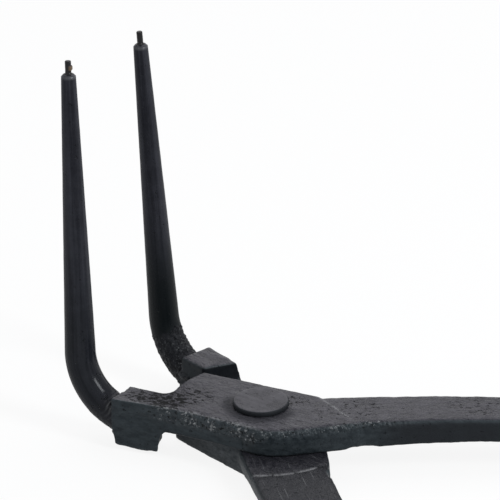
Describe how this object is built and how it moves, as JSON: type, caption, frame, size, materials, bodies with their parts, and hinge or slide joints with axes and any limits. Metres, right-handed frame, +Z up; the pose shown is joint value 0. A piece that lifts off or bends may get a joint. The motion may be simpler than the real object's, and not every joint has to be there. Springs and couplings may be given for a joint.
{
  "type": "circlip pliers",
  "caption": "Heavy forged circlip pliers for internal rings, with crossing riveted levers and long tapered prongs that are bent upward and end in small tip pins.",
  "frame": {"origin": "on the pivot axis, at the lower lever's flat underside", "axes": "+Z up along the pivot axis, the way the prongs point; +X from the pivot toward the handles, midway between the two levers as they lie; the left prong and the front handle are on -Y"},
  "size_m": [0.2051, 0.1514, 0.1161],
  "materials": {
    "forged_steel": "black finish over a pitted forging, satin, worn at the edges",
    "turned_steel": "smooth black, satin",
    "weld": "black over rippled weld metal",
    "tip_steel": "dark hardened steel with a trace of braze",
    "rivet_steel": "smooth black, satin"
  },
  "bodies": {
    "lower_half": {"lower_lever": "forged_steel", "right_prong": "turned_steel", "right_weld_bead": "weld", "right_tip_pin": "tip_steel", "pivot_rivet": "rivet_steel"},
    "upper_half": {"upper_lever": "forged_steel", "left_prong": "turned_steel", "left_weld_bead": "weld", "left_tip_pin": "tip_steel"}
  },
  "joints": [
    {"name": "pivot", "type": "hinge", "parent": "lower_half", "child": "upper_half", "pos_m": [0, 0, 0.00822], "axis": [0, 0, 1], "range_deg": [-28.2, 12]}
  ]
}
